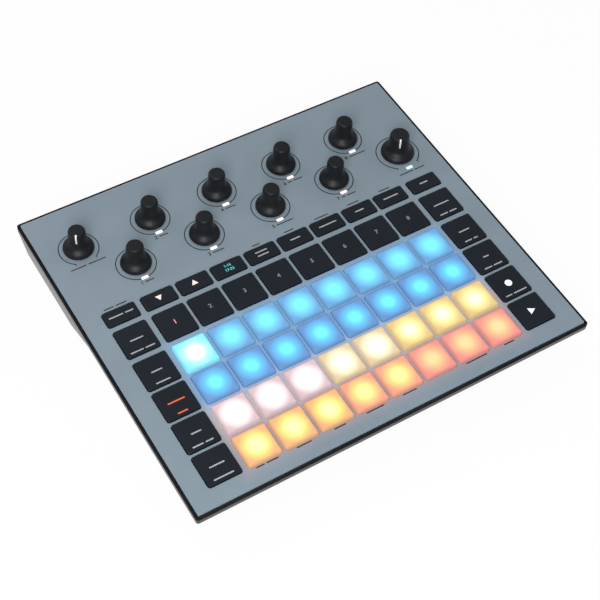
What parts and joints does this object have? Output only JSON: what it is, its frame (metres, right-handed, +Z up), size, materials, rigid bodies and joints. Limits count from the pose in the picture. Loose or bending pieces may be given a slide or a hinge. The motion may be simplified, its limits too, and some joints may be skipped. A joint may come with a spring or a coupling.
{
  "type": "table-top grid drum machine",
  "caption": "Flat table-top drum machine with a grid of lit square pads, dark function keys, tall rubber knobs with flared skirts and a row of sockets in its back wall.",
  "frame": {"origin": "on the table, under the middle of the case's footprint", "axes": "+X to the player's right, +Y from the front edge to the socket side, +Z up out of the faceplate"},
  "size_m": [0.24, 0.21, 0.045],
  "materials": {
    "panel_paint": "satin",
    "case_plastic": "satin",
    "lit_pad": "translucent, lit",
    "dark_key": "matte",
    "knob_rubber": "matte",
    "light_pipe": "clear",
    "board": "satin",
    "membrane": "matte",
    "control_metal": "satin",
    "battery_wrap": "satin",
    "socket_plastic": "matte",
    "socket_metal": "satin",
    "foot_rubber": "matte"
  },
  "bodies": {
    "case": {"lower_case": "case_plastic", "top_panel": "panel_paint", "main_circuit_board": "board", "switch_membrane": "membrane", "rotary_encoders": "control_metal", "potentiometers": "control_metal", "knob_light_pipes": "light_pipe", "battery_pack": "battery_wrap", "din_sockets": "socket_plastic", "audio_sockets": "socket_plastic", "usb_socket": "socket_metal", "card_socket": "socket_metal", "rubber_feet": "foot_rubber"},
    "pad_row1_col1_body": {"pad_row1_col1": "lit_pad"},
    "pad_row1_col2_body": {"pad_row1_col2": "lit_pad"},
    "pad_row1_col3_body": {"pad_row1_col3": "lit_pad"},
    "pad_row1_col4_body": {"pad_row1_col4": "lit_pad"},
    "pad_row1_col5_body": {"pad_row1_col5": "lit_pad"},
    "pad_row1_col6_body": {"pad_row1_col6": "lit_pad"},
    "pad_row1_col7_body": {"pad_row1_col7": "lit_pad"},
    "pad_row1_col8_body": {"pad_row1_col8": "lit_pad"},
    "pad_row2_col1_body": {"pad_row2_col1": "lit_pad"},
    "pad_row2_col2_body": {"pad_row2_col2": "lit_pad"},
    "pad_row2_col3_body": {"pad_row2_col3": "lit_pad"},
    "pad_row2_col4_body": {"pad_row2_col4": "lit_pad"},
    "pad_row2_col5_body": {"pad_row2_col5": "lit_pad"},
    "pad_row2_col6_body": {"pad_row2_col6": "lit_pad"},
    "pad_row2_col7_body": {"pad_row2_col7": "lit_pad"},
    "pad_row2_col8_body": {"pad_row2_col8": "lit_pad"},
    "pad_row3_col1_body": {"pad_row3_col1": "lit_pad"},
    "pad_row3_col2_body": {"pad_row3_col2": "lit_pad"},
    "pad_row3_col3_body": {"pad_row3_col3": "lit_pad"},
    "pad_row3_col4_body": {"pad_row3_col4": "lit_pad"},
    "pad_row3_col5_body": {"pad_row3_col5": "lit_pad"},
    "pad_row3_col6_body": {"pad_row3_col6": "lit_pad"},
    "pad_row3_col7_body": {"pad_row3_col7": "lit_pad"},
    "pad_row3_col8_body": {"pad_row3_col8": "lit_pad"},
    "pad_row4_col1_body": {"pad_row4_col1": "lit_pad"},
    "pad_row4_col2_body": {"pad_row4_col2": "lit_pad"},
    "pad_row4_col3_body": {"pad_row4_col3": "lit_pad"},
    "pad_row4_col4_body": {"pad_row4_col4": "lit_pad"},
    "pad_row4_col5_body": {"pad_row4_col5": "lit_pad"},
    "pad_row4_col6_body": {"pad_row4_col6": "lit_pad"},
    "pad_row4_col7_body": {"pad_row4_col7": "lit_pad"},
    "pad_row4_col8_body": {"pad_row4_col8": "lit_pad"},
    "function_keys_body": {"function_keys": "dark_key"},
    "track_keys_body": {"track_keys": "dark_key"},
    "left_keys_body": {"left_keys": "dark_key"},
    "right_keys_body": {"right_keys": "dark_key"},
    "encoder_knob_1_body": {"encoder_knob_1": "knob_rubber"},
    "encoder_knob_2_body": {"encoder_knob_2": "knob_rubber"},
    "encoder_knob_3_body": {"encoder_knob_3": "knob_rubber"},
    "encoder_knob_4_body": {"encoder_knob_4": "knob_rubber"},
    "encoder_knob_5_body": {"encoder_knob_5": "knob_rubber"},
    "encoder_knob_6_body": {"encoder_knob_6": "knob_rubber"},
    "encoder_knob_7_body": {"encoder_knob_7": "knob_rubber"},
    "encoder_knob_8_body": {"encoder_knob_8": "knob_rubber"},
    "volume_knob_body": {"volume_knob": "knob_rubber"},
    "filter_knob_body": {"filter_knob": "knob_rubber"},
    "power_button_body": {"power_button": "case_plastic"}
  },
  "joints": [
    {"name": "function_keys_press", "type": "slide", "parent": "case", "child": "function_keys_body", "axis": [0, 0, -1], "range_m": [0, 0.0008], "stiffness_N_per_m": 900, "springref_m": -0.0009},
    {"name": "track_keys_press", "type": "slide", "parent": "case", "child": "track_keys_body", "axis": [0, 0, -1], "range_m": [0, 0.0008], "stiffness_N_per_m": 900, "springref_m": -0.0009},
    {"name": "left_keys_press", "type": "slide", "parent": "case", "child": "left_keys_body", "axis": [0, 0, -1], "range_m": [0, 0.0008], "stiffness_N_per_m": 900, "springref_m": -0.0009},
    {"name": "right_keys_press", "type": "slide", "parent": "case", "child": "right_keys_body", "axis": [0, 0, -1], "range_m": [0, 0.0008], "stiffness_N_per_m": 900, "springref_m": -0.0009},
    {"name": "volume_knob_turn", "type": "hinge", "parent": "case", "child": "volume_knob_body", "pos_m": [-0.09713, 0.073, 0.029], "axis": [0, 0, -1], "range_deg": [0, 300]},
    {"name": "filter_knob_turn", "type": "hinge", "parent": "case", "child": "filter_knob_body", "pos_m": [0.09713, 0.0486, 0.029], "axis": [0, 0, -1], "range_deg": [0, 300]},
    {"name": "encoder_knob_1_turn", "type": "hinge", "parent": "case", "child": "encoder_knob_1_body", "pos_m": [-0.07437, 0.0486, 0.029], "axis": [0, 0, -1], "continuous": true},
    {"name": "encoder_knob_2_turn", "type": "hinge", "parent": "case", "child": "encoder_knob_2_body", "pos_m": [-0.05312, 0.073, 0.029], "axis": [0, 0, -1], "continuous": true},
    {"name": "encoder_knob_3_turn", "type": "hinge", "parent": "case", "child": "encoder_knob_3_body", "pos_m": [-0.03188, 0.0486, 0.029], "axis": [0, 0, -1], "continuous": true},
    {"name": "encoder_knob_4_turn", "type": "hinge", "parent": "case", "child": "encoder_knob_4_body", "pos_m": [-0.01063, 0.073, 0.029], "axis": [0, 0, -1], "continuous": true},
    {"name": "encoder_knob_5_turn", "type": "hinge", "parent": "case", "child": "encoder_knob_5_body", "pos_m": [0.01063, 0.0486, 0.029], "axis": [0, 0, -1], "continuous": true},
    {"name": "encoder_knob_6_turn", "type": "hinge", "parent": "case", "child": "encoder_knob_6_body", "pos_m": [0.03188, 0.073, 0.029], "axis": [0, 0, -1], "continuous": true},
    {"name": "encoder_knob_7_turn", "type": "hinge", "parent": "case", "child": "encoder_knob_7_body", "pos_m": [0.05312, 0.0486, 0.029], "axis": [0, 0, -1], "continuous": true},
    {"name": "encoder_knob_8_turn", "type": "hinge", "parent": "case", "child": "encoder_knob_8_body", "pos_m": [0.07437, 0.073, 0.029], "axis": [0, 0, -1], "continuous": true},
    {"name": "power_button_press", "type": "slide", "parent": "case", "child": "power_button_body", "axis": [0, -1, 0], "range_m": [0, 0.0005], "stiffness_N_per_m": 500, "springref_m": -0.0005},
    {"name": "pad_row1_col1_press", "type": "slide", "parent": "case", "child": "pad_row1_col1_body", "axis": [0, 0, -1], "range_m": [0, 0.0008], "stiffness_N_per_m": 400, "springref_m": -0.0006},
    {"name": "pad_row1_col2_press", "type": "slide", "parent": "case", "child": "pad_row1_col2_body", "axis": [0, 0, -1], "range_m": [0, 0.0008], "stiffness_N_per_m": 400, "springref_m": -0.0006},
    {"name": "pad_row1_col3_press", "type": "slide", "parent": "case", "child": "pad_row1_col3_body", "axis": [0, 0, -1], "range_m": [0, 0.0008], "stiffness_N_per_m": 400, "springref_m": -0.0006},
    {"name": "pad_row1_col4_press", "type": "slide", "parent": "case", "child": "pad_row1_col4_body", "axis": [0, 0, -1], "range_m": [0, 0.0008], "stiffness_N_per_m": 400, "springref_m": -0.0006},
    {"name": "pad_row1_col5_press", "type": "slide", "parent": "case", "child": "pad_row1_col5_body", "axis": [0, 0, -1], "range_m": [0, 0.0008], "stiffness_N_per_m": 400, "springref_m": -0.0006},
    {"name": "pad_row1_col6_press", "type": "slide", "parent": "case", "child": "pad_row1_col6_body", "axis": [0, 0, -1], "range_m": [0, 0.0008], "stiffness_N_per_m": 400, "springref_m": -0.0006},
    {"name": "pad_row1_col7_press", "type": "slide", "parent": "case", "child": "pad_row1_col7_body", "axis": [0, 0, -1], "range_m": [0, 0.0008], "stiffness_N_per_m": 400, "springref_m": -0.0006},
    {"name": "pad_row1_col8_press", "type": "slide", "parent": "case", "child": "pad_row1_col8_body", "axis": [0, 0, -1], "range_m": [0, 0.0008], "stiffness_N_per_m": 400, "springref_m": -0.0006},
    {"name": "pad_row2_col1_press", "type": "slide", "parent": "case", "child": "pad_row2_col1_body", "axis": [0, 0, -1], "range_m": [0, 0.0008], "stiffness_N_per_m": 400, "springref_m": -0.0006},
    {"name": "pad_row2_col2_press", "type": "slide", "parent": "case", "child": "pad_row2_col2_body", "axis": [0, 0, -1], "range_m": [0, 0.0008], "stiffness_N_per_m": 400, "springref_m": -0.0006},
    {"name": "pad_row2_col3_press", "type": "slide", "parent": "case", "child": "pad_row2_col3_body", "axis": [0, 0, -1], "range_m": [0, 0.0008], "stiffness_N_per_m": 400, "springref_m": -0.0006},
    {"name": "pad_row2_col4_press", "type": "slide", "parent": "case", "child": "pad_row2_col4_body", "axis": [0, 0, -1], "range_m": [0, 0.0008], "stiffness_N_per_m": 400, "springref_m": -0.0006},
    {"name": "pad_row2_col5_press", "type": "slide", "parent": "case", "child": "pad_row2_col5_body", "axis": [0, 0, -1], "range_m": [0, 0.0008], "stiffness_N_per_m": 400, "springref_m": -0.0006},
    {"name": "pad_row2_col6_press", "type": "slide", "parent": "case", "child": "pad_row2_col6_body", "axis": [0, 0, -1], "range_m": [0, 0.0008], "stiffness_N_per_m": 400, "springref_m": -0.0006},
    {"name": "pad_row2_col7_press", "type": "slide", "parent": "case", "child": "pad_row2_col7_body", "axis": [0, 0, -1], "range_m": [0, 0.0008], "stiffness_N_per_m": 400, "springref_m": -0.0006},
    {"name": "pad_row2_col8_press", "type": "slide", "parent": "case", "child": "pad_row2_col8_body", "axis": [0, 0, -1], "range_m": [0, 0.0008], "stiffness_N_per_m": 400, "springref_m": -0.0006},
    {"name": "pad_row3_col1_press", "type": "slide", "parent": "case", "child": "pad_row3_col1_body", "axis": [0, 0, -1], "range_m": [0, 0.0008], "stiffness_N_per_m": 400, "springref_m": -0.0006},
    {"name": "pad_row3_col2_press", "type": "slide", "parent": "case", "child": "pad_row3_col2_body", "axis": [0, 0, -1], "range_m": [0, 0.0008], "stiffness_N_per_m": 400, "springref_m": -0.0006},
    {"name": "pad_row3_col3_press", "type": "slide", "parent": "case", "child": "pad_row3_col3_body", "axis": [0, 0, -1], "range_m": [0, 0.0008], "stiffness_N_per_m": 400, "springref_m": -0.0006},
    {"name": "pad_row3_col4_press", "type": "slide", "parent": "case", "child": "pad_row3_col4_body", "axis": [0, 0, -1], "range_m": [0, 0.0008], "stiffness_N_per_m": 400, "springref_m": -0.0006},
    {"name": "pad_row3_col5_press", "type": "slide", "parent": "case", "child": "pad_row3_col5_body", "axis": [0, 0, -1], "range_m": [0, 0.0008], "stiffness_N_per_m": 400, "springref_m": -0.0006},
    {"name": "pad_row3_col6_press", "type": "slide", "parent": "case", "child": "pad_row3_col6_body", "axis": [0, 0, -1], "range_m": [0, 0.0008], "stiffness_N_per_m": 400, "springref_m": -0.0006},
    {"name": "pad_row3_col7_press", "type": "slide", "parent": "case", "child": "pad_row3_col7_body", "axis": [0, 0, -1], "range_m": [0, 0.0008], "stiffness_N_per_m": 400, "springref_m": -0.0006},
    {"name": "pad_row3_col8_press", "type": "slide", "parent": "case", "child": "pad_row3_col8_body", "axis": [0, 0, -1], "range_m": [0, 0.0008], "stiffness_N_per_m": 400, "springref_m": -0.0006},
    {"name": "pad_row4_col1_press", "type": "slide", "parent": "case", "child": "pad_row4_col1_body", "axis": [0, 0, -1], "range_m": [0, 0.0008], "stiffness_N_per_m": 400, "springref_m": -0.0006},
    {"name": "pad_row4_col2_press", "type": "slide", "parent": "case", "child": "pad_row4_col2_body", "axis": [0, 0, -1], "range_m": [0, 0.0008], "stiffness_N_per_m": 400, "springref_m": -0.0006},
    {"name": "pad_row4_col3_press", "type": "slide", "parent": "case", "child": "pad_row4_col3_body", "axis": [0, 0, -1], "range_m": [0, 0.0008], "stiffness_N_per_m": 400, "springref_m": -0.0006},
    {"name": "pad_row4_col4_press", "type": "slide", "parent": "case", "child": "pad_row4_col4_body", "axis": [0, 0, -1], "range_m": [0, 0.0008], "stiffness_N_per_m": 400, "springref_m": -0.0006},
    {"name": "pad_row4_col5_press", "type": "slide", "parent": "case", "child": "pad_row4_col5_body", "axis": [0, 0, -1], "range_m": [0, 0.0008], "stiffness_N_per_m": 400, "springref_m": -0.0006},
    {"name": "pad_row4_col6_press", "type": "slide", "parent": "case", "child": "pad_row4_col6_body", "axis": [0, 0, -1], "range_m": [0, 0.0008], "stiffness_N_per_m": 400, "springref_m": -0.0006},
    {"name": "pad_row4_col7_press", "type": "slide", "parent": "case", "child": "pad_row4_col7_body", "axis": [0, 0, -1], "range_m": [0, 0.0008], "stiffness_N_per_m": 400, "springref_m": -0.0006},
    {"name": "pad_row4_col8_press", "type": "slide", "parent": "case", "child": "pad_row4_col8_body", "axis": [0, 0, -1], "range_m": [0, 0.0008], "stiffness_N_per_m": 400, "springref_m": -0.0006}
  ]
}
